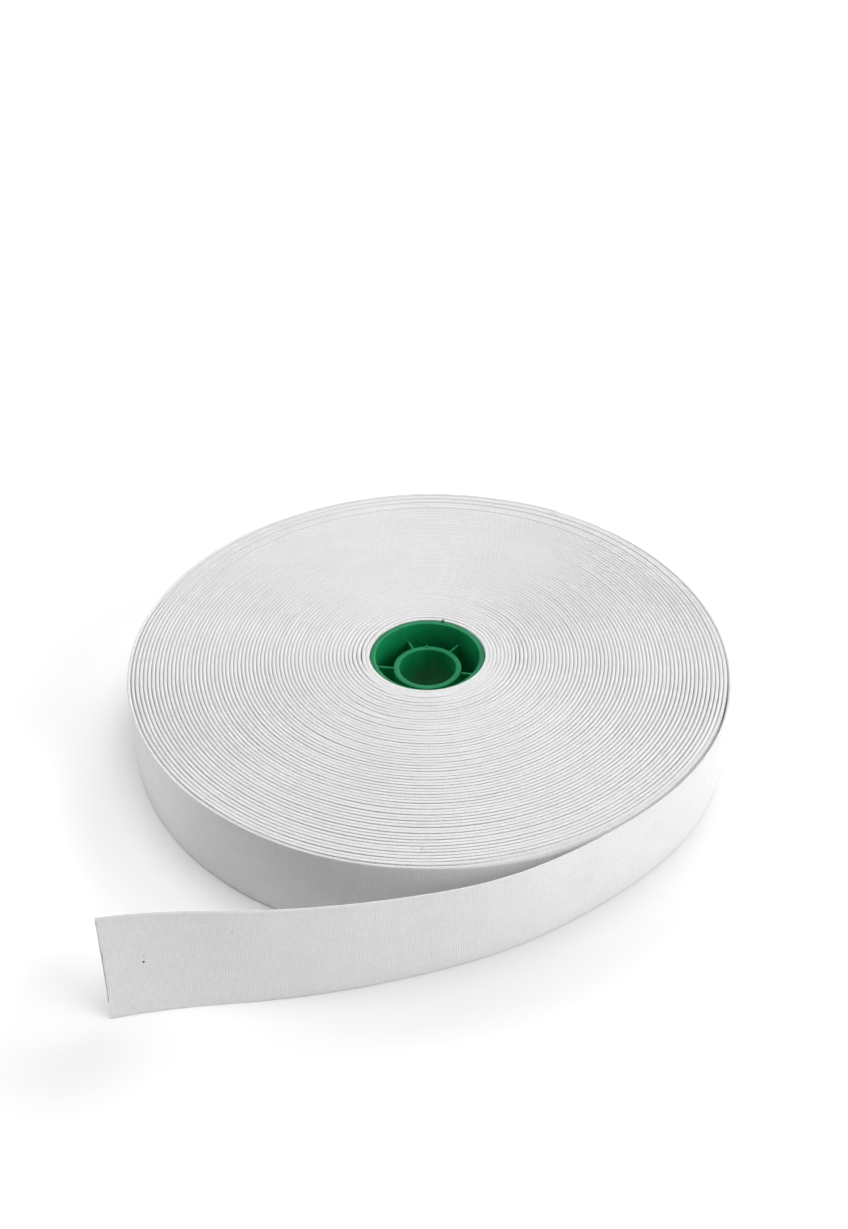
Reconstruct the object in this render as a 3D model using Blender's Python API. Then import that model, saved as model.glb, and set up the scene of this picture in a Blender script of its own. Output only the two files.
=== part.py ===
"""A roll of wide woven elastic on a moulded plastic core, lying on its side with its loose end let out.

Metres, +Z up. The pieces are modelled around the roll's own axis, and an empty on that axis then carries them, so
that the world's origin is the middle of the part's footprint, on the surface that it lies on. Azimuths are in
degrees from +X, anticlockwise as seen from above, and the elastic comes off the roll clockwise.
"""

import math

import bmesh
import bpy
from mathutils import Vector

# Elastic, as it is woven and wound
ELASTIC_WIDTH = 0.030
ELASTIC_THICKNESS = 0.0012
TURN_PITCH = 0.00129
EDGE_CHAMFER = 0.0003

# Wound body: its last turn's outer face runs inwards by a pitch each turn from the place where the loose turn begins
WOUND_RADIUS = 0.1015
BORE_RADIUS = 0.01985
LOOSE_TURN_AZIMUTH = 60.0
STEP_AZIMUTH = 0.5
WOUND_STATIONS = 180

# Loose turn: it lies round the right of the roll, a little slack, and leaves it at the front
PIECE_GAP = 0.0003
SLACK_AT_LEAVING = 0.0006
LEAVING_AZIMUTH = -50.0

# Loose end, from where it leaves the roll: one row for each station along it, as
# (distance along it in metres, heading in degrees, lean of its top edge towards the roll in degrees)
LOOSE_END_STATIONS = (
    (0.000, 220.0, 0.0),
    (0.012, 216.3, 0.0),
    (0.036, 210.0, 0.5),
    (0.061, 200.2, 2.7),
    (0.086, 194.6, 7.0),
    (0.111, 189.4, 11.2),
    (0.136, 185.2, 16.4),
    (0.169, 192.8, 26.0),
)
RELAXED_WIDTH = 0.031
RELAXED_FROM, RELAXED_AT = 0.020, 0.130
SECTION_STEP = 0.0035

# Core: an outer ring, and a hub inside it on six ribs, which stop short of both faces
RING_OUTER = 0.01955
RING_WALL = 0.00175
RING_HEIGHT = 0.0292
HUB_OUTER = 0.01176
HUB_HOLE = 0.00974
HUB_RECESS = 0.0050
RIM_CHAMFER = 0.0004
RIB_COUNT = 6
RIB_THICKNESS = 0.0011
RIB_FIRST_AZIMUTH = -8.0
RIB_JOIN = 0.0008
RING_STEPS = 96
HUB_STEPS = 72


def clear_scene():
    for obj in list(bpy.data.objects):
        bpy.data.objects.remove(obj)


def plain_material(name, colour, roughness):
    material = bpy.data.materials.new(name)
    material.use_nodes = True
    shader = material.node_tree.nodes["Principled BSDF"]
    shader.inputs["Base Color"].default_value = (*colour, 1.0)
    shader.inputs["Roughness"].default_value = roughness
    shader.inputs["Metallic"].default_value = 0.0
    return material


def mesh_object(name, points, faces, material=None, smooth_angle=35.0):
    mesh = bpy.data.meshes.new(name)
    mesh.from_pydata(points, [], faces)
    mesh.validate()
    editing = bmesh.new()
    editing.from_mesh(mesh)
    bmesh.ops.recalc_face_normals(editing, faces=editing.faces)
    editing.to_mesh(mesh)
    editing.free()
    mesh.shade_smooth()
    mesh.set_sharp_from_angle(angle=math.radians(smooth_angle))
    if material:
        mesh.materials.append(material)
    obj = bpy.data.objects.new(name, mesh)
    bpy.context.scene.collection.objects.link(obj)
    return obj


def ring_of_sections(sections):
    """Points and faces of a closed ring, from closed sections of equal length."""
    count, size = len(sections), len(sections[0])
    points = [point for section in sections for point in section]
    faces = []
    for i in range(count):
        following = (i + 1) % count
        for j in range(size):
            beside = (j + 1) % size
            faces.append((i * size + j, i * size + beside, following * size + beside, following * size + j))
    return points, faces


def strip_of_sections(sections):
    """Points and faces of a closed bar with a face at each end, from closed sections of equal length."""
    size = len(sections[0])
    points, faces = ring_of_sections(sections)
    faces = faces[:-size]
    faces.append(tuple(range(size)))
    faces.append(tuple(range(len(points) - size, len(points))))
    return points, faces


def chamfered_rectangle(low, high, chamfer):
    """Corners of a rectangle between two (across, up) corners, with its corners cut at 45 degrees."""
    (left, bottom), (right, top) = low, high
    return [
        (left + chamfer, bottom),
        (right - chamfer, bottom),
        (right, bottom + chamfer),
        (right, top - chamfer),
        (right - chamfer, top),
        (left + chamfer, top),
        (left, top - chamfer),
        (left, bottom + chamfer),
    ]


def polar(azimuth, radius, height):
    angle = math.radians(azimuth)
    return Vector((radius * math.cos(angle), radius * math.sin(angle), height))


def wound_radius(past_step):
    """Outer radius of the wound body, at this many degrees anticlockwise of the loose turn's start."""
    return WOUND_RADIUS - TURN_PITCH * past_step / 360.0


def wound_body(material):
    sections = []
    last = 360.0 - STEP_AZIMUTH
    for i in range(WOUND_STATIONS):
        past_step = last * i / (WOUND_STATIONS - 1)
        profile = chamfered_rectangle(
            (BORE_RADIUS, 0.0), (wound_radius(past_step), ELASTIC_WIDTH), EDGE_CHAMFER
        )
        azimuth = LOOSE_TURN_AZIMUTH + past_step
        sections.append([polar(azimuth, radius, height) for radius, height in profile])
    return mesh_object("wound_elastic", *ring_of_sections(sections), material)


def eased(share):
    share = min(max(share, 0.0), 1.0)
    return share * share * (3.0 - 2.0 * share)


def along_stations(distance, column):
    """A column of LOOSE_END_STATIONS at this distance, on a smooth curve through its rows."""
    rows = LOOSE_END_STATIONS
    distance = min(max(distance, rows[0][0]), rows[-1][0])
    i = max(k for k in range(len(rows) - 1) if rows[k][0] <= distance)
    span = rows[i + 1][0] - rows[i][0]
    share = (distance - rows[i][0]) / span

    def slope(k):
        before, after = rows[max(k - 1, 0)], rows[min(k + 1, len(rows) - 1)]
        return (after[column] - before[column]) / (after[0] - before[0]) * span

    start, end = rows[i][column], rows[i + 1][column]
    return (
        (1.0 + 2.0 * share) * (1.0 - share) ** 2 * start
        + share * (1.0 - share) ** 2 * slope(i)
        + share**2 * (3.0 - 2.0 * share) * end
        - share**2 * (1.0 - share) * slope(i + 1)
    )


def loose_turn_stations():
    """(foot, heading, lean, width) of the stretch that still lies round the roll."""
    start = LOOSE_TURN_AZIMUTH - STEP_AZIMUTH - math.degrees(PIECE_GAP / WOUND_RADIUS)
    turned = start - LEAVING_AZIMUTH
    count = round(math.radians(turned) * WOUND_RADIUS / SECTION_STEP)
    stations = []
    for i in range(count):
        azimuth = start - turned * i / count
        slack = PIECE_GAP + (SLACK_AT_LEAVING - PIECE_GAP) * eased(i / count)
        radius = wound_radius(360.0 + azimuth - LOOSE_TURN_AZIMUTH) + slack + ELASTIC_THICKNESS / 2.0
        stations.append((polar(azimuth, radius, 0.0), azimuth - 90.0, 0.0, ELASTIC_WIDTH))
    return stations


def free_stations():
    """(foot, heading, lean, width) of the stretch that has left the roll."""
    radius = wound_radius(360.0 + LEAVING_AZIMUTH - LOOSE_TURN_AZIMUTH) + SLACK_AT_LEAVING
    foot = polar(LEAVING_AZIMUTH, radius + ELASTIC_THICKNESS / 2.0, 0.0)
    length = LOOSE_END_STATIONS[-1][0]
    count = round(length / SECTION_STEP)
    step = length / count
    stations = []
    for i in range(count + 1):
        distance = i * step
        heading, lean = along_stations(distance, 1), along_stations(distance, 2)
        relaxed = eased((distance - RELAXED_FROM) / (RELAXED_AT - RELAXED_FROM))
        width = ELASTIC_WIDTH + (RELAXED_WIDTH - ELASTIC_WIDTH) * relaxed
        stations.append((foot.copy(), heading, lean, width))
        middle = math.radians(along_stations(distance + step / 2.0, 1))
        foot += step * Vector((math.cos(middle), math.sin(middle), 0.0))
    return stations


def standing_section(foot, heading, lean, width):
    """The strip's section at a station: it stands on its lower edge, and leans towards the roll."""
    heading, lean = math.radians(heading), math.radians(lean)
    inward = Vector((math.sin(heading), -math.cos(heading), 0.0))
    upward = Vector((0.0, 0.0, 1.0))
    along_width = math.cos(lean) * upward + math.sin(lean) * inward
    through = math.cos(lean) * inward - math.sin(lean) * upward
    half = ELASTIC_THICKNESS / 2.0
    profile = chamfered_rectangle((-half, 0.0), (half, width), EDGE_CHAMFER)
    points = [foot + across * through + up * along_width for across, up in profile]
    lowest = min(point.z for point in points)
    return [point - Vector((0.0, 0.0, lowest)) for point in points]


def loose_end(material):
    sections = [standing_section(*station) for station in loose_turn_stations() + free_stations()]
    return mesh_object("loose_end", *strip_of_sections(sections), material)


def turned_ring(name, inner, outer, bottom, top, steps, material=None):
    profile = chamfered_rectangle((inner, bottom), (outer, top), RIM_CHAMFER)
    sections = [[polar(360.0 * i / steps, radius, height) for radius, height in profile] for i in range(steps)]
    return mesh_object(name, *ring_of_sections(sections), material)


def rib_bars():
    """The six ribs as separate bars, each let a little way into the hub and into the ring."""
    start, end = HUB_OUTER - RIB_JOIN, RING_OUTER - RING_WALL + RIB_JOIN
    half = RIB_THICKNESS / 2.0
    bottom, top = HUB_RECESS, RING_HEIGHT - HUB_RECESS
    points, faces = [], []
    for i in range(RIB_COUNT):
        azimuth = RIB_FIRST_AZIMUTH + 360.0 * i / RIB_COUNT
        outward, sideways = polar(azimuth, 1.0, 0.0), polar(azimuth + 90.0, 1.0, 0.0)
        ends = [
            [
                distance * outward + side * sideways + Vector((0.0, 0.0, height))
                for side, height in ((-half, bottom), (half, bottom), (half, top), (-half, top))
            ]
            for distance in (start, end)
        ]
        bar_points, bar_faces = strip_of_sections(ends)
        faces += [tuple(len(points) + k for k in face) for face in bar_faces]
        points += bar_points
    return mesh_object("ribs", points, faces)


def joined_by_boolean(base, helper):
    helper.hide_render = True
    helper.display_type = "WIRE"
    union = base.modifiers.new("join_" + helper.name, "BOOLEAN")
    union.operation = "UNION"
    union.solver = "EXACT"
    union.object = helper


def core(material):
    ring = turned_ring("core", RING_OUTER - RING_WALL, RING_OUTER, 0.0, RING_HEIGHT, RING_STEPS, material)
    hub = turned_ring("hub", HUB_HOLE, HUB_OUTER, HUB_RECESS, RING_HEIGHT - HUB_RECESS, HUB_STEPS)
    ribs = rib_bars()
    joined_by_boolean(ring, hub)
    joined_by_boolean(ring, ribs)
    return [ring, hub, ribs]


def carry_on_axis(pieces):
    """Parents the pieces to an empty on the roll's axis, and puts it where the footprint's middle is the origin."""
    corners = [vertex.co for piece in pieces for vertex in piece.data.vertices]
    middle_x = (min(c.x for c in corners) + max(c.x for c in corners)) / 2.0
    middle_y = (min(c.y for c in corners) + max(c.y for c in corners)) / 2.0
    axis = bpy.data.objects.new("roll_axis", None)
    axis.location = (-middle_x, -middle_y, 0.0)
    bpy.context.scene.collection.objects.link(axis)
    for piece in pieces:
        piece.parent = axis


def main():
    clear_scene()
    elastic = plain_material("elastic", (0.83, 0.83, 0.81), 0.9)
    plastic = plain_material("core_plastic", (0.01, 0.22, 0.09), 0.4)
    carry_on_axis([wound_body(elastic), loose_end(elastic), *core(plastic)])


main()
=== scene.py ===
"""The looks of a roll of wide woven elastic on a moulded plastic core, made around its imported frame.

Metres, +Z up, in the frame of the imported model. The roll's shape is worked out around its own axis, and put
in its place by AXIS. Azimuths are in degrees from +X, anticlockwise as seen from above. The elastic is one
strip: it winds outwards from the core, comes off the roll clockwise, and ends in a cut edge. Distances along
it count from that cut, and turns count from the rim inwards.
"""

import math
from dataclasses import dataclass

import bmesh
import bpy
import numpy as np
from mathutils import Matrix, Vector, noise


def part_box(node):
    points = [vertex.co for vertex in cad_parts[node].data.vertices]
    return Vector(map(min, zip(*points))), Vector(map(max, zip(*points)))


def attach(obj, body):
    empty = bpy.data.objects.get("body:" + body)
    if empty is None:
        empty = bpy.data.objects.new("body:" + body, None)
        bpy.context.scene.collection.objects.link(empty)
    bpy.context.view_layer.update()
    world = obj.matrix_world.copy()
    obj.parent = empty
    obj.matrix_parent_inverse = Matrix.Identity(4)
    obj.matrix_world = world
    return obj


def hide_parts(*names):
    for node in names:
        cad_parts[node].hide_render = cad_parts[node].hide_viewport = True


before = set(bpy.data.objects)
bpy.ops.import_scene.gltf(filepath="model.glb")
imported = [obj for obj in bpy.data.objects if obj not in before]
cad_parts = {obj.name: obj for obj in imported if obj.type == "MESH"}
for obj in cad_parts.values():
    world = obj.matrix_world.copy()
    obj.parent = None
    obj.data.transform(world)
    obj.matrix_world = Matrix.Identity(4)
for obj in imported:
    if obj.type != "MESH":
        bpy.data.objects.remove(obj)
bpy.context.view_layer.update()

# Frame of the photograph in pixels, and the camera at its viewing angle
IMAGE_WIDTH, IMAGE_HEIGHT = 848, 1229
FOCAL_LENGTH_PIXELS = 1551.65
SENSOR_LONG_SIDE = 36.0
CAMERA_FROM_AXIS = Vector((-0.00204, -0.41736, 0.35980))
CAMERA_YAW, CAMERA_DOWN, CAMERA_ROLL = 0.1348, 36.870, -0.4772

# The roll's axis is the core's
core_low, core_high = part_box("core")
AXIS = Vector(((core_low.x + core_high.x) / 2.0, (core_low.y + core_high.y) / 2.0, 0.0))

# Elastic, as it is woven and wound
ELASTIC_WIDTH = 0.030
ELASTIC_THICKNESS = 0.0012
WOUND_RADIUS = 0.1015
BORE_RADIUS = 0.01993

# Innermost turns: the strip's start is pressed thin, and each turn over it climbs more gently
TURNS_WOUND = 62.25
LAP_SHARE = 0.12
LAP_SPREAD = 0.08
TURN_PITCH = (WOUND_RADIUS - ELASTIC_THICKNESS - BORE_RADIUS) / (TURNS_WOUND - LAP_SHARE)

# Loose turn: it begins at one azimuth as a tight turn, grows slack, and leaves the roll at another
LOOSE_TURN_AZIMUTH = 60.0
LEAVING_AZIMUTH = -50.0
SLACK_AT_LEAVING = 0.00025
LEAN_AT_LEAVING = -0.4
TIGHT_SHARE = 0.55

# How much lower the turn just inside the loose turn is, and over which stretch of turns
COVERED_DROP = 0.00010
COVERED_FROM, COVERED_TO = 0.5, 1.05

# How far the outermost turns slump outwards just inside the loose end, and between which shares of a turn
SLUMP = 0.0017
SLUMP_FROM, SLUMP_TO = 0.57, 0.83
SLUMP_TURNS = 2.0

# Loose end, from where it leaves the roll: one row for each station along it, as
# (distance along it in metres, heading in degrees, lean of its top edge towards the roll in degrees)
LOOSE_END_STATIONS = (
    (0.000, 220.9, LEAN_AT_LEAVING),
    (0.012, 217.1, 0.1),
    (0.036, 210.4, 1.3),
    (0.061, 200.2, 3.1),
    (0.086, 194.6, 7.0),
    (0.111, 189.4, 11.2),
    (0.136, 185.2, 16.4),
    (0.169, 192.8, 26.0),
)
RELAXED_WIDTH = 0.031
RELAXED_FROM, RELAXED_AT = 0.020, 0.130

# Cut: its hollow and its raggedness, and how far from it the sections give way to them
CUT_HOLLOW, CUT_RAGGED = 0.0005, 0.00045
CUT_REACH = 0.006

# Spacing of the mesh's sections along the strip
LOOSE_STEP = 0.001
WOUND_STEP_AT_RIM = 0.0040

# How unevenly the turns lie, and the seeds of their noise
LIFT_MIDDLE, LIFT_SPREAD, LIFT_MOST = 0.00014, 0.00018, 0.00040
ROUNDNESS_ERROR = 0.00022
EDGE_WANDER = 0.00016
LIFT_SEED, FINE_LIFT_SEED, ROUNDNESS_SEED, WANDER_SEED = 3.0, 9.0, 20.0, 40.0

# Innermost turns: their edges are flatter, and they stand proud in front and lie lower behind
FLAT_TURNS = 1.6
LIP_HEIGHT = 0.0003
LIP_TURNS = 5.0
DIP_DEPTH = 0.00045
DIP_TURNS = 2.0

# Depth of the grooves between the turns in front, behind and at the sides: 1 is the edge's full rounding
GROOVE_AHEAD, GROOVE_BEHIND, GROOVE_BESIDE = 1.05, 0.25, 0.50

# How much deeper the grooves are just behind the sides
GROOVE_DEEPER = 0.22

# How much deeper the outermost groove is, and over which stretch of turns
FIRST_GROOVE = 0.3
FIRST_GROOVE_FROM, FIRST_GROOVE_TO = 0.95, 1.55

# Share of their depth that the grooves have beside the core, and in front of it
GROOVE_AT_CORE, GROOVE_BEFORE_CORE = 0.50, 0.05

# How far the outermost turns stand proud behind, in millimetres, the outermost one first
PROUD_TURNS = (0.26, 0.04, 0.30, 0.06, 0.30, 0.0, 0.12, 0.27)
PROUD_AZIMUTH, PROUD_SPREAD = 96.0, 75.0

# How much deeper the grooves are near the rim behind, and the turns that this takes in
RIM_GROOVE, RIM_TURNS = 0.38, 9.0

# How far the rim stands out of round, as (azimuth, millimetres outwards)
RIM_BULGES = (
    (0, 1.1), (20, 0.9), (40, 0.95), (60, 1.1), (75, 0.5), (90, 0.5),
    (105, 0.0), (120, -0.4), (140, 0.0), (160, 0.4), (170, 1.0), (190, 1.1),
    (200, 0.7), (215, 0.25), (230, 0.0), (310, 0.0), (340, 1.2), (360, 1.1),
)

# Upper edges of a wound turn's section, from its outer face to its inner face, and its foot, as
# (share of half the thickness towards the roll, millimetres in from the edge)
TURN_EDGE = (
    (-1.0, 1.10), (-0.86, 0.52), (-0.48, 0.13), (0.0, 0.0), (0.48, 0.13), (0.86, 0.52), (1.0, 1.10),
)
CRISP_EDGE = (
    (-1.0, 1.20), (-0.93, 0.45), (-0.80, 0.08), (0.0, 0.0), (0.80, 0.08), (0.93, 0.45), (1.0, 1.20),
)
TURN_FOOT = ((1.0, 0.70), (0.75, 0.20), (0.35, 0.0), (-0.35, 0.0), (-0.75, 0.20), (-1.0, 0.70))

# Half of the loose end's edge, from its face over its thinner selvage, in the same form
LOOSE_HALF_EDGE = (
    (1.0, 4.0), (0.985, 3.3), (0.93, 2.9), (0.93, 1.6),
    (0.89, 1.0), (0.76, 0.52), (0.52, 0.20), (0.25, 0.05),
)
LOOSE_FACE_STEPS = 22

# Weave, and the darker shade of its upper edge, which sets in between two heights
ELASTIC_COLOUR = (0.872, 0.866, 0.876)
RIB_PITCH = 0.00076
WALE_PITCH = 0.00085
WEAVE_DEPTH = 0.00006
SELVAGE_WIDTH = 0.0030
EDGE_SHADE = 0.97
EDGE_SHADE_FROM, EDGE_SHADE_TO = 0.0292, 0.0298

# Specks and a wide patch of painted shade in the weave, as (along and up in millimetres, 0, radius in
# millimetres, shade)
SPECKS_AND_PAINTED_SHADE = (
    (11.33, 16.16, 0.0, 0.55, 0.10),
    (11.48, 17.87, 0.0, 0.30, 0.45),
    (36.74, 24.24, 0.0, 0.45, 0.70),
    (29.76, 21.79, 0.0, 0.35, 0.85),
    (146.5, 15.5, 0.0, 3.50, 0.96),
    (712.5, 17.15, 0.0, 0.60, 0.80),
    # A wide patch of painted shade on the roll's wall at its front left, beside the loose end
    (680.0, 15.0, 0.0, 52.0, 0.885),
)

# Smudges on the turns' upper edges, as (azimuth, radius in metres, size in millimetres, shade)
SMUDGES = (
    (-91.5, 0.0929, 1.0, 0.80),
    (-101.5, 0.0786, 0.8, 0.85),
    (-84.5, 0.0772, 0.8, 0.85),
)

# Core, as moulded
RING_OUTER = 0.0199
RING_WALL = 0.0021
RING_HEIGHT = 0.02915
RING_TILT = 0.0003
HUB_OUTER = 0.01176
HUB_HOLE = 0.00974
HUB_RECESS = 0.0050
RIM_ROUNDING = 0.00035

# Crown of the ring's rims, as (share of the wall outwards, millimetres below the rim's top)
RIM_CROWN = ((0.0, 0.32), (0.05, 0.09), (0.16, 0.0), (0.50, 0.02), (0.80, 0.08), (0.94, 0.16), (1.0, 0.30))
RIB_COUNT = 6
RIB_DROP = 0.0014
RIB_THICKNESS = 0.0010
RIB_FLARE = 0.0003
RIB_FIRST_AZIMUTH = -8.0
RIB_JOIN = 0.0008
CORE_STEPS = 192

# Moulding nibs on the hub's rim and the ring's, as (azimuth, radius, height)
NIBS = ((91.0, 0.0113, 0.0242), (73.5, 0.0197, 0.0296))
NIB_RADIUS = 0.0006

# Plastic: its colour, a painted sheen added on faces that look up, and painted shade by the ring's outer edge
PLASTIC_COLOUR = (0.003, 0.235, 0.080)
PAINTED_SHEEN_COLOUR = (0.016, 0.012, 0.022)
PAINTED_SHADE_FROM, PAINTED_SHADE_TO, PAINTED_RING_SHADE = 0.0016, 0.0003, 0.70

# Floor: its colour near the roll, darker as a painted shadow, and at a place to the left of it, paler as
# painted light
FLOOR_HALF = 15.0
FLOOR_SHADE = 0.90
PALE_PLACE, PALE_SHADE = (-0.13, -0.06, 0.0), 1.02

# The floor's glow beyond the roll's shadow, and the share of it that is left around the loose end's shadow
GLOW = 0.14
SHADOW_MIDDLE = (AXIS.x - 0.004, AXIS.y - 0.02, 0.0)
TIP_SHADOW_MIDDLE, TIP_GLOW_SHARE = (-0.107, -0.115, 0.0), 0.25

# Soft lights, as (name, azimuth, elevation, power in watts)
LIGHTS = (
    ("overhead", 0.0, 89.0, 15.1),
    ("key", -17.0, 25.0, 13.9),
    ("back", 60.0, 25.0, 10.0),
    ("fill", 155.0, 38.0, 5.7),
)
LIGHT_DISTANCE, LIGHT_SIZE = 1.6, 1.3

UP = Vector((0.0, 0.0, 1.0))


@dataclass
class Station:
    """Where a section of the strip stands. Its foot is the middle of its lower edge, from the roll's axis."""

    foot: Vector
    heading: float
    lean: float = 0.0
    width: float = ELASTIC_WIDTH
    thickness: float = ELASTIC_THICKNESS
    edge_lean: float = 0.0
    outer_rounding: float = 1.0
    inner_rounding: float = 1.0
    crispness: float = 0.0
    tilt: float = 0.0
    cut_share: float = 0.0


def eased(share):
    """The share kept between 0 and 1, with a smooth start and end."""
    share = min(max(share, 0.0), 1.0)
    return share * share * (3.0 - 2.0 * share)


def between(value, low, high, rise, fall):
    """Share that rises from 0 at the low value to 1, and falls back to 0 at the high one."""
    return eased((value - low) / rise) * eased((high - value) / fall)


def polar(azimuth, radius, height):
    """A point around the roll's own axis."""
    angle = math.radians(azimuth)
    return Vector((radius * math.cos(angle), radius * math.sin(angle), height))


def wound_radius(past_step):
    """Radius of a wound turn's outer face, at this many degrees anticlockwise of the loose turn's start."""
    return WOUND_RADIUS - TURN_PITCH * past_step / 360.0


def turn_noise(azimuth, turn, seed, around, per_turn):
    """Smooth noise about 0, over the azimuth and from turn to turn."""
    angle = math.radians(azimuth)
    return noise.noise(Vector((around * math.cos(angle) + seed, around * math.sin(angle), per_turn * turn)))


def bulge(azimuth, radius):
    """How far a turn of this radius stands out of round, the more so near the rim."""
    azimuth %= 360.0
    i = max(k for k in range(len(RIM_BULGES) - 1) if RIM_BULGES[k][0] <= azimuth)
    (start, low), (end, high) = RIM_BULGES[i], RIM_BULGES[i + 1]
    at_rim = low + (high - low) * eased((azimuth - start) / (end - start))
    return at_rim / 1000.0 * (radius / WOUND_RADIUS) ** 6


def built_up(turns_on):
    """Layers below the strip, this many turns after its start has its full thickness."""
    if turns_on <= 0.0:
        return 0.0
    whole = math.floor(turns_on)
    climb = min(LAP_SHARE + LAP_SPREAD * whole, 1.0)
    return whole + max(0.0, 1.0 - (1.0 - (turns_on - whole)) / climb)


def ahead(azimuth):
    """Share by which an azimuth is in front: 1 over most of the front, 0 at the sides and behind."""
    return eased(-1.2 * math.sin(math.radians(azimuth)))


def unevenness(azimuth):
    """How deep the grooves are at this azimuth: deep in front, where the turns stand apart, less behind."""
    backward = math.sin(math.radians(azimuth))
    more_ahead = (GROOVE_AHEAD - GROOVE_BESIDE) * ahead(azimuth)
    less_behind = (GROOVE_BEHIND - GROOVE_BESIDE) * eased((backward - 0.45) / 0.5)
    deeper = GROOVE_DEEPER * math.exp(-(((backward - 0.42) / 0.25) ** 2))
    return GROOVE_BESIDE + more_ahead + less_behind + deeper


def proud(azimuth, turn):
    """How far the strip stands proud behind."""
    past = (azimuth - PROUD_AZIMUTH + 180.0) % 360.0 - 180.0
    counted = round(turn - (PROUD_AZIMUTH + past - LOOSE_TURN_AZIMUTH) / 360.0)
    height = PROUD_TURNS[counted] if 0 <= counted < len(PROUD_TURNS) else 0.0
    return height / 1000.0 * math.exp(-((past / PROUD_SPREAD) ** 2))


def rim_share(azimuth, turn):
    """Share by which a turn is one of the outermost ones, at an azimuth behind the sides."""
    backward = math.sin(math.radians(azimuth))
    outermost = eased(1.5 * (1.0 - turn / RIM_TURNS))
    return outermost * between(backward, 0.1, 1.03, rise=0.4, fall=0.17)


def groove_depth(azimuth, turn):
    """Depth of the groove outside a turn."""
    first = between(turn, FIRST_GROOVE_FROM, FIRST_GROOVE_TO, rise=0.1, fall=0.2)
    from_core = eased((TURNS_WOUND - turn) / TURNS_WOUND * (3.0 - ahead(azimuth)))
    at_core = GROOVE_AT_CORE + (GROOVE_BEFORE_CORE - GROOVE_AT_CORE) * ahead(azimuth)
    share = at_core + (1.0 - at_core) * from_core
    return unevenness(azimuth) * share + FIRST_GROOVE * first + RIM_GROOVE * rim_share(azimuth, turn)


def slumped(turn):
    """Share by which a turn slumps outwards: the outermost one in full, the next one by half."""
    here = between(turn % 1.0, SLUMP_FROM, SLUMP_TO, rise=0.08, fall=0.1)
    return here * eased((SLUMP_TURNS - math.floor(turn)) / SLUMP_TURNS)


def wound_stations():
    """Stations of the wound strip, from its inner end outwards to where the loose turn begins."""
    stations = []
    past = 0.0
    while past < 360.0 * TURNS_WOUND:
        azimuth, turn = LOOSE_TURN_AZIMUTH + past, past / 360.0
        backward = math.sin(math.radians(azimuth))
        turns_on = TURNS_WOUND - LAP_SHARE - turn
        from_core = max(turns_on, 0.0)
        thickness = ELASTIC_THICKNESS * min(max(1.0 + turns_on / LAP_SHARE, 0.1), 1.0)
        inner = wound_radius(past) - ELASTIC_THICKNESS - TURN_PITCH * (turns_on - built_up(turns_on))
        free_share = eased(past / 90.0) * eased(turns_on / 3.0)
        fine = turn_noise(azimuth, turn, FINE_LIFT_SEED, 3.5, 0.83)
        uneven = turn_noise(azimuth, turn, LIFT_SEED, 1.2, 0.83) + 0.6 * fine
        lift = LIFT_MIDDLE + LIFT_SPREAD * uneven * unevenness(azimuth)
        lift = min(max(lift, 0.0), LIFT_MOST) * free_share
        lip = LIP_HEIGHT * eased(-backward) * math.exp(-from_core / LIP_TURNS)
        dip = DIP_DEPTH * eased(backward) * math.exp(-from_core / DIP_TURNS)
        covered = between(turn, COVERED_FROM, COVERED_TO, rise=0.1, fall=0.1)
        out_of_round = ROUNDNESS_ERROR * turn_noise(azimuth, turn, ROUNDNESS_SEED, 1.3, 0.06) * free_share
        radius = inner + thickness / 2.0 + out_of_round + bulge(azimuth, inner)
        rounded = 0.35 + 0.65 * eased(turns_on / FLAT_TURNS - 0.5)
        stations.append(Station(
            polar(azimuth, radius, lift + lip),
            azimuth - 90.0,
            width=ELASTIC_WIDTH + proud(azimuth, turn) - COVERED_DROP * covered - dip,
            thickness=thickness,
            edge_lean=EDGE_WANDER * turn_noise(azimuth, turn, WANDER_SEED, 2.2, 0.9) * free_share,
            outer_rounding=rounded * groove_depth(azimuth, turn) * (1.0 - 0.6 * covered),
            inner_rounding=rounded * groove_depth(azimuth, turn + 1.0) * (1.0 - 0.6 * slumped(turn)),
            crispness=max(ahead(azimuth), 0.7 * rim_share(azimuth, turn)) * (1.0 - covered),
            tilt=SLUMP * slumped(turn),
        ))
        past += math.degrees(WOUND_STEP_AT_RIM * math.sqrt(radius / WOUND_RADIUS) / radius)
    return stations[::-1]


def along_stations(distance, column):
    """A column of LOOSE_END_STATIONS at this distance, on a smooth curve through its rows."""
    rows = LOOSE_END_STATIONS
    distance = min(max(distance, rows[0][0]), rows[-1][0])
    i = max(k for k in range(len(rows) - 1) if rows[k][0] <= distance)
    span = rows[i + 1][0] - rows[i][0]
    share = (distance - rows[i][0]) / span

    def slope(k):
        before, after = rows[max(k - 1, 0)], rows[min(k + 1, len(rows) - 1)]
        return (after[column] - before[column]) / (after[0] - before[0]) * span

    start, end = rows[i][column], rows[i + 1][column]
    return (
        (1.0 + 2.0 * share) * (1.0 - share) ** 2 * start
        + share * (1.0 - share) ** 2 * slope(i)
        + share**2 * (3.0 - 2.0 * share) * end
        - share**2 * (1.0 - share) * slope(i + 1)
    )


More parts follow.
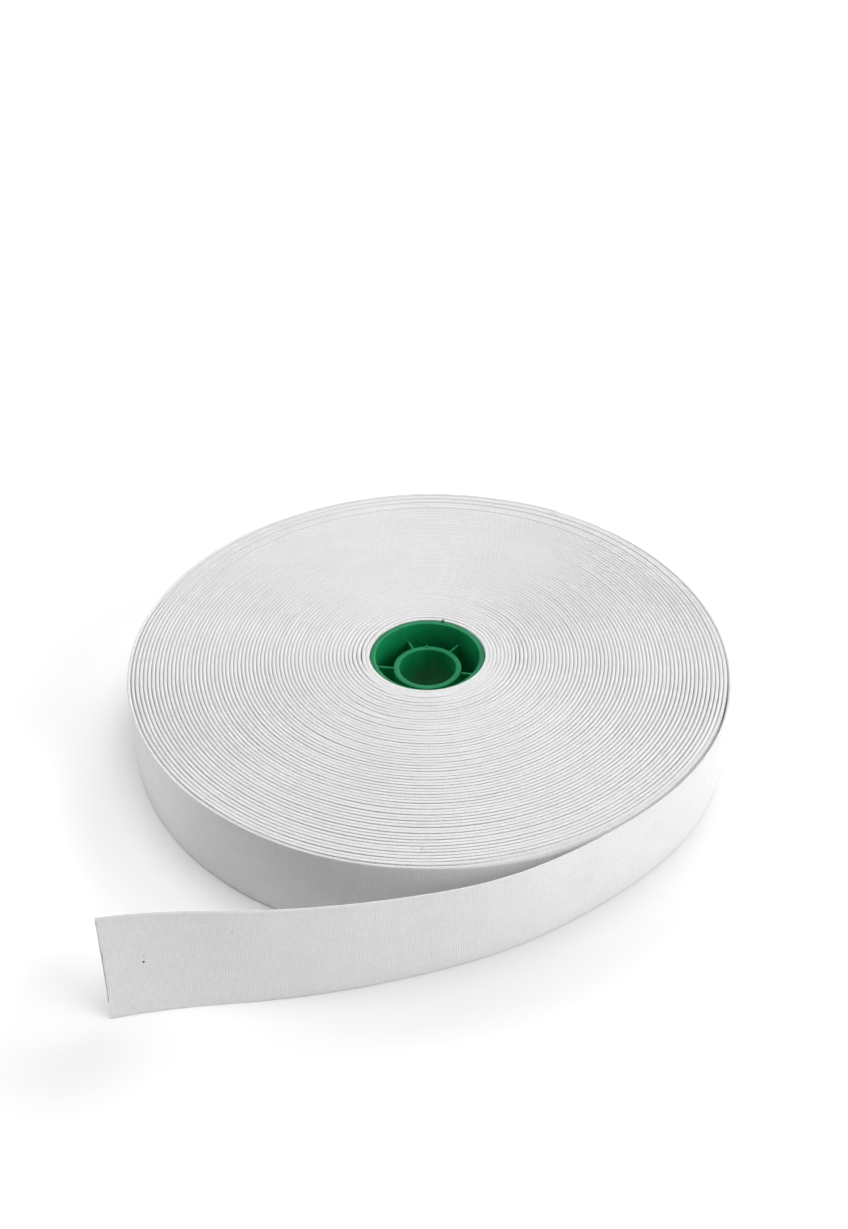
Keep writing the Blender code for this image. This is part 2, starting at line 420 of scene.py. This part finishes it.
def loose_turn_stations():
    """Stations of the stretch that still lies round the roll."""
    turned = LOOSE_TURN_AZIMUTH - LEAVING_AZIMUTH
    count = round(math.radians(turned) * WOUND_RADIUS / LOOSE_STEP)
    tight = TURN_PITCH - ELASTIC_THICKNESS
    stations = []
    for i in range(count):
        azimuth = LOOSE_TURN_AZIMUTH - turned * i / count
        slack = tight + (SLACK_AT_LEAVING - tight) * eased((i / count - TIGHT_SHARE) / (1.0 - TIGHT_SHARE))
        inner = wound_radius(360.0 + azimuth - LOOSE_TURN_AZIMUTH) + slack
        radius = inner + ELASTIC_THICKNESS / 2.0 + bulge(azimuth, inner)
        lean = LEAN_AT_LEAVING * eased(3.0 * i / count)
        stations.append(Station(polar(azimuth, radius, 0.0), azimuth - 90.0, lean))
    return stations


def free_stations():
    """Stations of the stretch that has left the roll, as far as the cut."""
    radius = wound_radius(360.0 + LEAVING_AZIMUTH - LOOSE_TURN_AZIMUTH) + SLACK_AT_LEAVING
    foot = polar(LEAVING_AZIMUTH, radius + ELASTIC_THICKNESS / 2.0, 0.0)
    length = LOOSE_END_STATIONS[-1][0]
    count = round(length / LOOSE_STEP)
    step = length / count
    stations = []
    for i in range(count + 1):
        distance = i * step
        heading, lean = along_stations(distance, 1), along_stations(distance, 2)
        relaxed = eased((distance - RELAXED_FROM) / (RELAXED_AT - RELAXED_FROM))
        width = ELASTIC_WIDTH + (RELAXED_WIDTH - ELASTIC_WIDTH) * relaxed
        cut_share = eased(1.0 - (length - distance) / CUT_REACH)
        stations.append(Station(foot.copy(), heading, lean, width, cut_share=cut_share))
        middle = math.radians(along_stations(distance + step / 2.0, 1))
        foot += step * Vector((math.cos(middle), math.sin(middle), 0.0))
    return stations


def distances_to_cut(stations, beyond=0.0):
    """Distance of each station from the cut, where the last one is this far beyond it."""
    distances = [beyond]
    for here, following in zip(stations[-2::-1], stations[:0:-1]):
        distances.append(distances[-1] + (following.foot - here.foot).length)
    return distances[::-1]


def turn_profile(station):
    """(through, up) of a wound turn's section."""
    half = station.thickness / 2.0
    profile = []
    for soft, crisp in zip(TURN_EDGE, CRISP_EDGE):
        share, inset = (a + (b - a) * station.crispness for a, b in zip(soft, crisp))
        depth = inset / 1000.0 * (station.outer_rounding if share < 0.0 else station.inner_rounding)
        leaned = station.edge_lean * (1.0 - inset / TURN_EDGE[0][1])
        fallen = station.tilt * (1.0 - share) / 2.0
        profile.append((share * half + leaned, station.width - depth - fallen))
    return profile + [(share * half, inset / 1000.0) for share, inset in TURN_FOOT]


def loose_profile(station):
    """(through, up) of the loose end's section, with a thinner selvage along both edges."""
    half = station.thickness / 2.0
    rising = [(share * half, inset / 1000.0) for share, inset in LOOSE_HALF_EDGE[::-1]]
    selvage = LOOSE_HALF_EDGE[0][1] / 1000.0
    span = station.width - 2.0 * selvage
    rising += [(half, selvage + span * i / LOOSE_FACE_STEPS) for i in range(1, LOOSE_FACE_STEPS)]
    rising += [(share * half, station.width - inset / 1000.0) for share, inset in LOOSE_HALF_EDGE]
    outer = [(-across, up) for across, up in rising]
    return outer + [(0.0, station.width)] + rising[::-1] + [(0.0, 0.0)]


def trimmed(station, up):
    """How far the cut takes a point at this height back along the strip."""
    from_middle = 2.0 * up / station.width - 1.0
    hollow = CUT_HOLLOW * (1.0 - from_middle**2)
    ragged = CUT_RAGGED * noise.noise(Vector((up * 700.0, 0.0, 5.0)))
    return station.cut_share * (hollow + ragged)


def placed_section(station, profile):
    """Points of a section in the frame: it stands on its lower edge, and leans towards the roll."""
    heading, lean = math.radians(station.heading), math.radians(station.lean)
    onward = Vector((math.cos(heading), math.sin(heading), 0.0))
    inward = Vector((math.sin(heading), -math.cos(heading), 0.0))
    along_width = math.cos(lean) * UP + math.sin(lean) * inward
    through = math.cos(lean) * inward - math.sin(lean) * UP
    points = []
    for across, up in profile:
        place = station.foot + across * through + up * along_width
        points.append(place - trimmed(station, up) * onward)
    lowest = min(point.z for point in points) - station.foot.z
    return [AXIS + point - lowest * UP for point in points]


def side_faces(count, size, closed=False):
    """Faces between each of this many sections, of this many points, and the next one."""
    faces = []
    for i in range(count if closed else count - 1):
        following = (i + 1) % count
        for j in range(size):
            beside = (j + 1) % size
            corners = (i * size + j, i * size + beside, following * size + beside, following * size + j)
            faces.append(corners)
    return faces


def strip_object(name, stations, profile_of, distances, material):
    """A closed strip through the stations, each of which heads for the next. Its UV map is (along, up)."""
    profiles = [profile_of(station) for station in stations]
    sections = [placed_section(station, profile) for station, profile in zip(stations, profiles)]
    count, size = len(sections), len(sections[0])
    points = [point for section in sections for point in section]
    caps = [tuple(range(size))[::-1], tuple(range((count - 1) * size, count * size))]
    mesh = bpy.data.meshes.new(name)
    mesh.from_pydata(points, [], side_faces(count, size) + caps)
    flat = [(distance, up) for distance, profile in zip(distances, profiles) for _, up in profile]
    corners = np.empty(len(mesh.loops), dtype=np.int32)
    mesh.loops.foreach_get("vertex_index", corners)
    weave = mesh.uv_layers.new(name="weave")
    weave.uv.foreach_set("vector", np.array(flat, dtype=np.float32)[corners].ravel())
    return shown_object(name, mesh, material, 60.0)


def shown_object(name, mesh, material, smooth_angle):
    """An object in the scene, smooth but for edges sharper than this angle in degrees."""
    mesh.shade_smooth()
    mesh.set_sharp_from_angle(angle=math.radians(smooth_angle))
    mesh.materials.append(material)
    obj = bpy.data.objects.new(name, mesh)
    bpy.context.scene.collection.objects.link(obj)
    return obj


def node(tree, kind, inputs=None, **settings):
    """Adds a shader node. An input is a value, or the socket that it takes its value from."""
    made = tree.nodes.new("ShaderNode" + kind)
    for key, value in settings.items():
        setattr(made, key, value)
    for key, value in (inputs or {}).items():
        if isinstance(value, bpy.types.NodeSocket):
            tree.links.new(value, made.inputs[key])
        else:
            made.inputs[key].default_value = value
    return made


def calc(tree, operation, *values, clamp=False):
    inputs = dict(enumerate(values))
    return node(tree, "Math", inputs, operation=operation, use_clamp=clamp).outputs[0]


def remap(tree, value, from_low, from_high, to_low, to_high):
    inputs = {0: value, 1: from_low, 2: from_high, 3: to_low, 4: to_high}
    return node(tree, "MapRange", inputs, interpolation_type="SMOOTHSTEP").outputs[0]


def noise_at(tree, where, scale, detail=2.0, roughness=0.5):
    inputs = {"Vector": where, "Scale": scale, "Detail": detail, "Roughness": roughness}
    return node(tree, "TexNoise", inputs).outputs[0]


def wave_along(tree, distance, pitch, shift=0.0):
    """A wave from 0 to 1 with this pitch along a distance."""
    phase = calc(tree, "ADD", calc(tree, "MULTIPLY", distance, 2.0 * math.pi / pitch), shift)
    return calc(tree, "MULTIPLY_ADD", calc(tree, "SINE", phase), 0.5, 0.5)


def tinted(tree, colour, shade):
    """The colour times a shade."""
    return node(tree, "VectorMath", {0: colour, "Scale": shade}, operation="SCALE").outputs[0]


def new_material(name, roughness):
    material = bpy.data.materials.new(name)
    material.use_nodes = True
    tree = material.node_tree
    shader = tree.nodes["Principled BSDF"]
    shader.inputs["Roughness"].default_value = roughness
    return material, tree, shader


def darkened(tree, shade, where, spots):
    """The shade, darker at spots: rows of (x, y, z, radius, shade of its middle), lengths in millimetres."""
    for *centre, radius, darkest in spots:
        inputs = {0: where, 1: Vector(centre) / 1000.0}
        away = node(tree, "VectorMath", inputs, operation="DISTANCE").outputs["Value"]
        mark = remap(tree, away, radius / 4000.0, radius / 1000.0, darkest, 1.0)
        shade = calc(tree, "MULTIPLY", shade, mark)
    return shade


def elastic_material():
    """White elastic: fine crosswise ribs and fainter lengthwise wales, with smoother selvages."""
    material, tree, shader = new_material("woven_elastic", 0.92)
    weave = node(tree, "UVMap", uv_map="weave").outputs[0]
    flat = node(tree, "SeparateXYZ", {0: weave})
    along, up = flat.outputs[0], flat.outputs[1]
    where = node(tree, "TexCoord").outputs["Object"]

    unsteady = calc(tree, "MULTIPLY", noise_at(tree, where, 900.0), 3.0)
    ribs = wave_along(tree, along, RIB_PITCH, unsteady)
    wales = wave_along(tree, up, WALE_PITCH, unsteady)
    from_middle = calc(tree, "ABSOLUTE", calc(tree, "SUBTRACT", up, ELASTIC_WIDTH / 2.0))
    inside = ELASTIC_WIDTH / 2.0 - SELVAGE_WIDTH
    body = remap(tree, from_middle, inside - 0.0003, inside + 0.0003, 1.0, 0.65)
    patchy = remap(tree, noise_at(tree, where, 180.0), 0.3, 0.7, 0.55, 1.0)
    rib_height = calc(tree, "MULTIPLY", calc(tree, "MULTIPLY", ribs, body), patchy)
    fuzz = noise_at(tree, where, 2600.0, 3.0, 0.7)
    height = calc(tree, "MULTIPLY_ADD", wales, 0.35, rib_height)
    height = calc(tree, "MULTIPLY_ADD", fuzz, 0.8, height)
    bump = node(tree, "Bump", {"Height": height, "Distance": WEAVE_DEPTH, "Strength": 1.0})

    # Painted shade: the weave's colour is darker in the grooves between its ribs
    pale = remap(tree, rib_height, 0.0, 1.0, 0.94, 1.0)
    cloudy = remap(tree, noise_at(tree, where, 45.0, 3.0), 0.3, 0.7, 0.975, 1.0)
    mottled = remap(tree, noise_at(tree, where, 1300.0), 0.3, 0.7, 0.94, 1.0)
    shade = calc(tree, "MULTIPLY", calc(tree, "MULTIPLY", pale, cloudy), mottled)
    shade = calc(tree, "MULTIPLY", shade, remap(tree, up, EDGE_SHADE_FROM, EDGE_SHADE_TO, 1.0, EDGE_SHADE))
    # Real specks, and painted shade on the wall beside the loose end
    shade = darkened(tree, shade, weave, SPECKS_AND_PAINTED_SHADE)
    smudges = []
    for azimuth, radius, size, darkest in SMUDGES:
        centre = (AXIS + polar(azimuth, radius, ELASTIC_WIDTH)) * 1000.0
        smudges.append((*centre, size, darkest))
    shade = darkened(tree, shade, where, smudges)
    colour = tinted(tree, ELASTIC_COLOUR, shade)
    tree.links.new(colour, shader.inputs["Base Color"])
    tree.links.new(bump.outputs[0], shader.inputs["Normal"])
    shader.inputs["Specular IOR Level"].default_value = 0.25
    shader.inputs["Sheen Weight"].default_value = 0.10
    shader.inputs["Sheen Roughness"].default_value = 0.5
    return material


def plastic_material():
    """Green moulded plastic with a satin face, painted sheen on upward faces and painted shade by the
    elastic.
    """
    material, tree, shader = new_material("green_plastic", 0.4)
    where = node(tree, "TexCoord").outputs["Object"]
    cloudy = remap(tree, noise_at(tree, where, 160.0, 3.0), 0.3, 0.7, 0.88, 1.08)
    flat = node(tree, "VectorMath", {0: where, 1: (1.0, 1.0, 0.0)}, operation="MULTIPLY").outputs[0]
    from_axis = node(tree, "VectorMath", {0: flat, 1: AXIS}, operation="DISTANCE").outputs["Value"]
    # Painted shade on the ring's rim, darker towards the elastic
    painted_shade = remap(tree, from_axis, RING_OUTER - PAINTED_SHADE_FROM, RING_OUTER - PAINTED_SHADE_TO, 1.0, PAINTED_RING_SHADE)
    # Painted sheen: the colour is paler on faces that look up
    facing_up = node(tree, "SeparateXYZ", {0: node(tree, "NewGeometry").outputs["Normal"]}).outputs[2]
    painted_sheen = tinted(tree, PAINTED_SHEEN_COLOUR, remap(tree, facing_up, 0.75, 0.98, 0.0, 1.0))
    colour = tinted(tree, PLASTIC_COLOUR, calc(tree, "MULTIPLY", cloudy, painted_shade))
    colour = node(tree, "VectorMath", {0: colour, 1: painted_sheen}, operation="ADD").outputs[0]
    grain = noise_at(tree, where, 3000.0, 2.0)
    bump = node(tree, "Bump", {"Height": grain, "Distance": 0.00002, "Strength": 0.6})
    satin = remap(tree, noise_at(tree, where, 500.0, 3.0), 0.3, 0.7, 0.34, 0.48)
    tree.links.new(colour, shader.inputs["Base Color"])
    tree.links.new(satin, shader.inputs["Roughness"])
    shader.inputs["Specular IOR Level"].default_value = 0.25
    tree.links.new(bump.outputs[0], shader.inputs["Normal"])
    return material


def rounded_rectangle(low, high, rounding, steps=3):
    """Outline of a rectangle between two (across, up) corners, with round corners, anticlockwise."""
    (left, bottom), (right, top) = low, high
    centres = ((left, bottom, 180), (right, bottom, 270), (right, top, 0), (left, top, 90))
    corners = []
    for x, y, start in centres:
        centre_x = x + (rounding if x == left else -rounding)
        centre_y = y + (rounding if y == bottom else -rounding)
        for i in range(steps + 1):
            angle = math.radians(start + 90.0 * i / steps)
            corners.append((centre_x + rounding * math.cos(angle), centre_y + rounding * math.sin(angle)))
    return corners


def turned_mesh(name, profile, steps):
    """A ring turned from a closed (radius, height) profile."""
    azimuths = [360.0 * i / steps for i in range(steps)]
    points = [AXIS + polar(azimuth, radius, height) for azimuth in azimuths for radius, height in profile]
    return clean_mesh(name, points, side_faces(steps, len(profile), closed=True))


def clean_mesh(name, points, faces):
    """A mesh with all its faces pointing out."""
    mesh = bpy.data.meshes.new(name)
    mesh.from_pydata(points, [], faces)
    editing = bmesh.new()
    editing.from_mesh(mesh)
    bmesh.ops.recalc_face_normals(editing, faces=editing.faces)
    editing.to_mesh(mesh)
    editing.free()
    return mesh


def rib_mesh(name, azimuth):
    """A rib between hub and ring: its sides flare where they meet them, and its edges are rounded."""
    start, end = HUB_OUTER - RIB_JOIN, RING_OUTER - RING_WALL + RIB_JOIN
    bottom, top = HUB_RECESS + RIB_DROP, RING_HEIGHT - HUB_RECESS - RIB_DROP
    outward, sideways = polar(azimuth, 1.0, 0.0), polar(azimuth + 90.0, 1.0, 0.0)
    count = 16
    points = []
    for i in range(count + 1):
        distance = start + (end - start) * i / count
        room = min(distance - HUB_OUTER, RING_OUTER - RING_WALL - distance)
        flare = RIB_FLARE * (1.0 - eased(room / RIB_FLARE / 1.5))
        half = RIB_THICKNESS / 2.0 + flare
        profile = rounded_rectangle((-half, bottom), (half, top), 0.00025)
        points += [AXIS + distance * outward + side * sideways + height * UP for side, height in profile]
    size = len(points) // (count + 1)
    caps = [tuple(range(size)), tuple(range(count * size, (count + 1) * size))]
    return clean_mesh(name, points, side_faces(count + 1, size) + caps)


def nib_mesh(name, place):
    """A moulding nib: a small dome, half sunk."""
    mesh = bpy.data.meshes.new(name)
    editing = bmesh.new()
    where = Matrix.Translation(AXIS + place)
    bmesh.ops.create_icosphere(editing, subdivisions=2, radius=NIB_RADIUS, matrix=where)
    editing.to_mesh(mesh)
    editing.free()
    return mesh


def joined_mesh(name, base, helpers):
    """One closed mesh of the base and its helpers, united one after the other."""
    scene = bpy.context.scene
    base_object = bpy.data.objects.new(name, base)
    scene.collection.objects.link(base_object)
    helper_objects = []
    for mesh in helpers:
        helper = bpy.data.objects.new(mesh.name, mesh)
        scene.collection.objects.link(helper)
        helper_objects.append(helper)
        union = base_object.modifiers.new(mesh.name, "BOOLEAN")
        union.operation = "UNION"
        union.solver = "EXACT"
        union.object = helper
    evaluated = base_object.evaluated_get(bpy.context.evaluated_depsgraph_get())
    joined = bpy.data.meshes.new_from_object(evaluated)
    for obj in [base_object, *helper_objects]:
        bpy.data.objects.remove(obj)
    joined.name = name
    return joined


def ring_profile():
    """(radius, height) round the ring's section, whose two rims are crowned."""
    rim = [(RING_OUTER - RING_WALL * (1.0 - share), drop / 1000.0) for share, drop in RIM_CROWN]
    return rim + [(radius, RING_HEIGHT - drop) for radius, drop in rim[::-1]]


def core_piece(material):
    """The core in one piece: its ring, slightly askew, its hub, its ribs and its moulding nibs."""
    ring = turned_mesh("ring", ring_profile(), CORE_STEPS)
    for vertex in ring.vertices:
        if vertex.co.z > RING_HEIGHT / 2.0:
            vertex.co.z += RING_TILT * (vertex.co.y - AXIS.y) / RING_OUTER
    hub_top = RING_HEIGHT - HUB_RECESS
    hub_profile = rounded_rectangle((HUB_HOLE, HUB_RECESS), (HUB_OUTER, hub_top), RIM_ROUNDING)
    hub = turned_mesh("hub", hub_profile, CORE_STEPS)
    ribs = [rib_mesh(f"rib_{i}", RIB_FIRST_AZIMUTH + 360.0 * i / RIB_COUNT) for i in range(RIB_COUNT)]
    nibs = [nib_mesh(f"nib_{i}", polar(*place)) for i, place in enumerate(NIBS)]
    joined = joined_mesh("moulded_core", ring, [hub, *ribs, *nibs])
    return shown_object("moulded_core", joined, material, 35.0)


def floor_piece():
    """The floor: white, with painted shadow near the roll, and glowing a little beyond the roll's shadow to
    stay white.
    """
    corners = [(x * FLOOR_HALF, y * FLOOR_HALF, 0.0) for x, y in ((-1, -1), (1, -1), (1, 1), (-1, 1))]
    mesh = bpy.data.meshes.new("floor")
    mesh.from_pydata(corners, [], [(0, 1, 2, 3)])
    material, tree, shader = new_material("white_floor", 0.9)
    where = node(tree, "TexCoord").outputs["Object"]

    def distance_from(place):
        return node(tree, "VectorMath", {0: where, 1: place}, operation="DISTANCE").outputs["Value"]

    away = distance_from(AXIS)
    # Painted shadow near the roll, and painted light at a paler place to the left of it
    near = remap(tree, distance_from(PALE_PLACE), 0.035, 0.085, PALE_SHADE, FLOOR_SHADE)
    paler = calc(tree, "MAXIMUM", near, remap(tree, away, 0.12, 0.32, 0.0, 1.0))
    tree.links.new(tinted(tree, (1.0, 1.0, 1.0), paler), shader.inputs["Base Color"])

    beyond_shadow = remap(tree, distance_from(SHADOW_MIDDLE), 0.101, 0.131, 0.0, GLOW)
    beyond_tip = remap(tree, distance_from(TIP_SHADOW_MIDDLE), 0.012, 0.042, TIP_GLOW_SHARE, 1.0)
    far_off = remap(tree, away, 0.25, 2.0, 0.0, 1.0)
    glow = calc(tree, "MULTIPLY_ADD", beyond_shadow, beyond_tip, far_off)
    tree.links.new(glow, shader.inputs["Emission Strength"])
    shader.inputs["Emission Color"].default_value = (1.0, 1.0, 1.0, 1.0)
    shader.inputs["Specular IOR Level"].default_value = 0.1
    mesh.materials.append(material)
    obj = bpy.data.objects.new("floor", mesh)
    bpy.context.scene.collection.objects.link(obj)
    return obj


def add_light(name, azimuth, elevation, power):
    """A large round light, aimed at the middle of the roll."""
    target = AXIS + ELASTIC_WIDTH / 2.0 * UP
    height = LIGHT_DISTANCE * math.sin(math.radians(elevation))
    position = AXIS + polar(azimuth, LIGHT_DISTANCE * math.cos(math.radians(elevation)), height)
    lamp = bpy.data.lights.new(name, "AREA")
    lamp.shape = "DISK"
    lamp.size = LIGHT_SIZE
    lamp.energy = power
    obj = bpy.data.objects.new(name, lamp)
    obj.location = position
    obj.rotation_euler = (target - position).to_track_quat("-Z", "Y").to_euler()
    bpy.context.scene.collection.objects.link(obj)


def set_up_world(horizon, zenith):
    """White surroundings, brighter near the horizon."""
    world = bpy.data.worlds.new("studio")
    world.use_nodes = True
    tree = world.node_tree
    direction = node(tree, "TexCoord").outputs["Generated"]
    height = node(tree, "SeparateXYZ", {0: direction}).outputs[2]
    level = remap(tree, height, 0.0, 0.8, horizon, zenith)
    background = tree.nodes["Background"]
    background.inputs["Color"].default_value = (1.0, 1.0, 1.0, 1.0)
    tree.links.new(level, background.inputs["Strength"])
    bpy.context.scene.world = world


def add_camera():
    """The camera, where the photograph was taken from."""
    yaw, down, roll = (math.radians(angle) for angle in (CAMERA_YAW, CAMERA_DOWN, CAMERA_ROLL))
    forward = Vector((math.sin(yaw) * math.cos(down), math.cos(yaw) * math.cos(down), -math.sin(down)))
    level_right = Vector((math.cos(yaw), -math.sin(yaw), 0.0))
    level_up = level_right.cross(forward)
    right = math.cos(roll) * level_right + math.sin(roll) * level_up
    upward = math.cos(roll) * level_up - math.sin(roll) * level_right
    lens = bpy.data.cameras.new("camera")
    lens.sensor_width = SENSOR_LONG_SIDE
    lens.lens = FOCAL_LENGTH_PIXELS * SENSOR_LONG_SIDE / max(IMAGE_WIDTH, IMAGE_HEIGHT)
    lens.clip_start, lens.clip_end = 0.01, 50.0
    obj = bpy.data.objects.new("camera", lens)
    obj.location = AXIS + CAMERA_FROM_AXIS
    obj.rotation_euler = Matrix((right, upward, -forward)).transposed().to_euler()
    bpy.context.scene.collection.objects.link(obj)
    bpy.context.scene.camera = obj


def main():
    add_camera()
    bpy.context.scene.view_settings.view_transform = "Standard"
    set_up_world(horizon=0.53, zenith=0.0)
    for light in LIGHTS:
        add_light(*light)
    floor_piece()

    elastic = elastic_material()
    loose = loose_turn_stations() + free_stations()
    loose_distances = distances_to_cut(loose)
    wound = wound_stations() + [loose[0]]
    wound_distances = distances_to_cut(wound, loose_distances[0])
    turns = strip_object("wound_turns", wound, turn_profile, wound_distances, elastic)
    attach(turns, "root")
    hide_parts("wound_elastic")

    end = strip_object("elastic_end", loose, loose_profile, loose_distances, elastic)
    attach(end, "root")
    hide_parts("loose_end")

    core = core_piece(plastic_material())
    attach(core, "root")
    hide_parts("core")


main()
